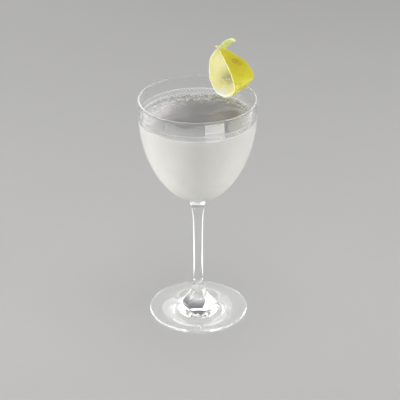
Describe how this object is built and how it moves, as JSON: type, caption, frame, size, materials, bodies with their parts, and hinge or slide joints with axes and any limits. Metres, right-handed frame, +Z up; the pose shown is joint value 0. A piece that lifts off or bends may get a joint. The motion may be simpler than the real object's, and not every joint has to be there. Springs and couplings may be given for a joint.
{
  "type": "cocktail in stemmed glass",
  "caption": "Cloudy pale cocktail in a small clear stemmed glass, with a looped lemon peel hung on the rim.",
  "frame": {"origin": "centre of the flat underside of the glass's foot", "axes": "+Z up along the stem; -Y toward the side opposite the lemon peel; the peel hangs on the rim between +X and +Y"},
  "size_m": [0.073, 0.0786, 0.176],
  "materials": {
    "clear_glass": "clear, polished",
    "cloudy_drink": "wet, cloudy",
    "lemon_zest": "waxy, pitted"
  },
  "bodies": {
    "root": {"glass": "clear_glass", "drink": "cloudy_drink", "lemon_peel": "lemon_zest"}
  },
  "joints": []
}
